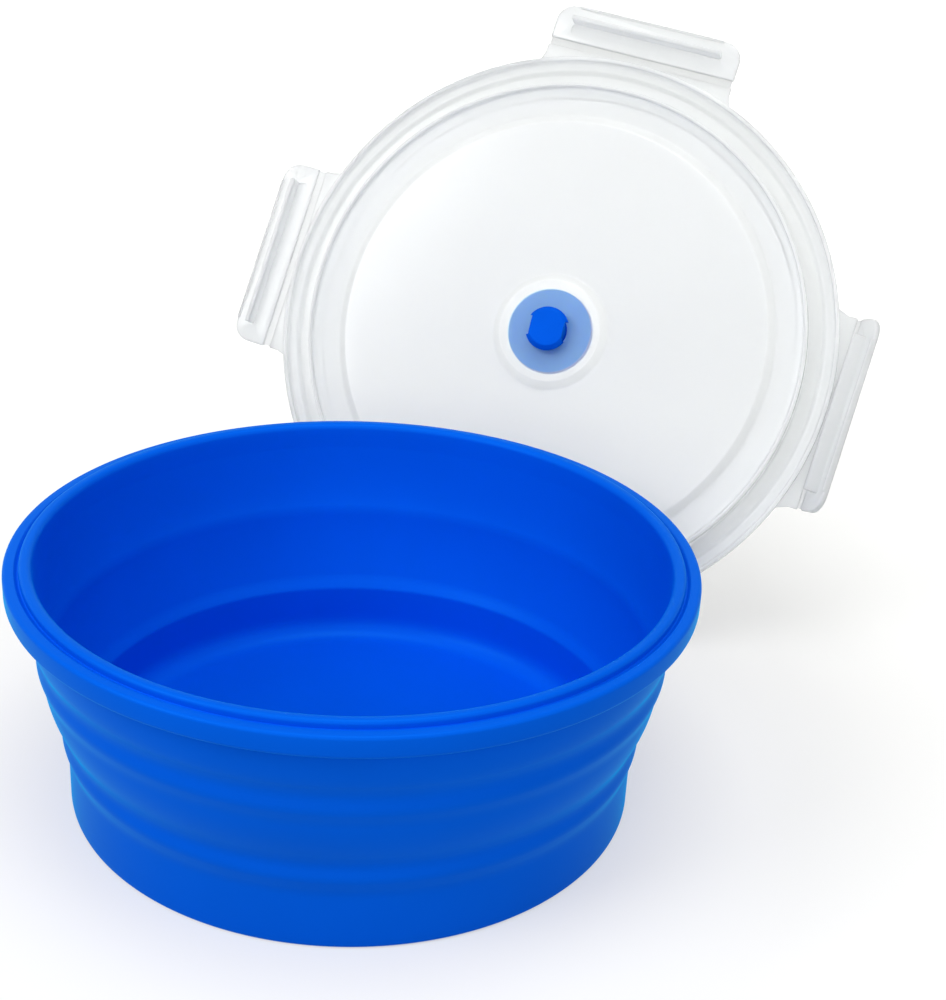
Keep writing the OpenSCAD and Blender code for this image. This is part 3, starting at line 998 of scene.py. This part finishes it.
def floor_material(near_lift, far_lift, near_m, far_m):
    """Matt pale card with a lift, for the rays that only look at it, that grows with distance."""
    made = new_material("pale_card_floor")
    tree = made.node_tree
    place = add_node(tree, "ShaderNodeTexCoord").outputs["Object"]
    away = add_node(tree, "ShaderNodeVectorMath", links={0: place}, operation="LENGTH")
    grown = add_node(tree, "ShaderNodeMapRange",
                     {"From Min": near_m, "From Max": far_m, "To Min": near_lift, "To Max": far_lift},
                     {"Value": away.outputs["Value"]})
    seen = add_node(tree, "ShaderNodeMath", operation="MULTIPLY",
                    links={0: grown.outputs["Result"], 1: looking_rays(tree)})
    card = add_node(tree, "ShaderNodeBsdfDiffuse", {"Color": linear(CARD_COLOUR)})
    lift = add_node(tree, "ShaderNodeEmission", {"Color": linear("#FFFFFF")}, {"Strength": seen.outputs[0]})
    both = add_node(tree, "ShaderNodeAddShader")
    tree.links.new(card.outputs["BSDF"], both.inputs[0])
    tree.links.new(lift.outputs["Emission"], both.inputs[1])
    add_node(tree, "ShaderNodeOutputMaterial", links={"Surface": both.outputs["Shader"]})
    return made


work = bmesh.new()
bmesh.ops.create_circle(work, cap_ends=True, segments=FLOOR_SEGMENTS, radius=FLOOR_R)
floor_mesh = bpy.data.meshes.new("floor")
work.to_mesh(floor_mesh)
work.free()
card = floor_material(near_lift=0.47, far_lift=0.94, near_m=0.13, far_m=0.65)
floor = new_object("floor", floor_mesh, card)
print("floor radius:", FLOOR_R, "m")

# %% Room light
ROOM_LIGHT = 0.4
world = bpy.data.worlds.new("soft_room")
bpy.context.scene.world = world
world.use_nodes = True
sky = world.node_tree
sky.nodes.clear()
lifted = add_node(sky, "ShaderNodeMapRange", {"To Min": ROOM_LIGHT, "To Max": 1.0},
                  {"Value": looking_rays(sky)})
room = add_node(sky, "ShaderNodeBackground", {"Color": linear("#FFFFFF")},
                {"Strength": lifted.outputs["Result"]})
add_node(sky, "ShaderNodeOutputWorld", links={"Surface": room.outputs["Background"]})
print("room light:", ROOM_LIGHT)

# %% Lamps
AIM = Vector((0.03, 0.03, 0.06))


def lamp(name, place, size, share):
    """A square area lamp aimed at the object. share is how much of full daylight it adds there."""
    data = bpy.data.lights.new(name, "AREA")
    data.size = size
    data.energy = share * math.pi ** 2 * (Vector(place) - AIM).length ** 2
    made = bpy.data.objects.new(name, data)
    made.location = place
    made.rotation_euler = (AIM - Vector(place)).to_track_quat("-Z", "Y").to_euler()
    bpy.context.scene.collection.objects.link(made)
    return made


lamps = [
    lamp("key_left", (-0.85, -0.5, 0.85), size=0.6, share=0.34),
    lamp("top_soft", (0.05, -0.15, 1.4), size=0.8, share=0.41),
    lamp("fill_right", (0.9, -0.6, 0.6), size=0.8, share=0.13),
    lamp("front_soft", (-0.1, -1.4, 0.6), size=1.0, share=0.2)]
print("lamps:", [f"{item.name} {item.data.energy:.1f} W" for item in lamps])

# %% [markdown]
# ## Camera
# The camera stands where the picture's perspective puts it: about half a metre away, looking down by 25
# degrees and a little turned about its own axis. The focal length is worked out in pixels of a picture
# 1000 pixels high.

# %% Camera
PICTURE_H = 1000
FOCAL_PX = 1702.3
LOOK_DOWN = 24.79
ROLL = 3.17
SHIFT_DOWN_PX = 3.5
SENSOR_H = 36
NEAREST = 0.01
CAMERA_PLACE = (0.0303, -0.40853, 0.27418)
camera_data = bpy.data.cameras.new("camera")
camera_data.sensor_fit = "VERTICAL"
camera_data.sensor_height = SENSOR_H
camera_data.lens = FOCAL_PX * SENSOR_H / PICTURE_H
camera_data.shift_y = SHIFT_DOWN_PX / PICTURE_H
camera_data.clip_start = NEAREST
camera = bpy.data.objects.new("camera", camera_data)
camera.matrix_world = (Matrix.Translation(CAMERA_PLACE)
                       @ Matrix.Rotation(math.radians(90 - LOOK_DOWN), 4, "X")
                       @ Matrix.Rotation(math.radians(ROLL), 4, "Z"))
bpy.context.scene.collection.objects.link(camera)
bpy.context.scene.camera = camera
bpy.context.scene.view_settings.view_transform = "Standard"
print(f"lens {camera_data.lens:.2f} mm")

# %% End of the script
print("end of the script")
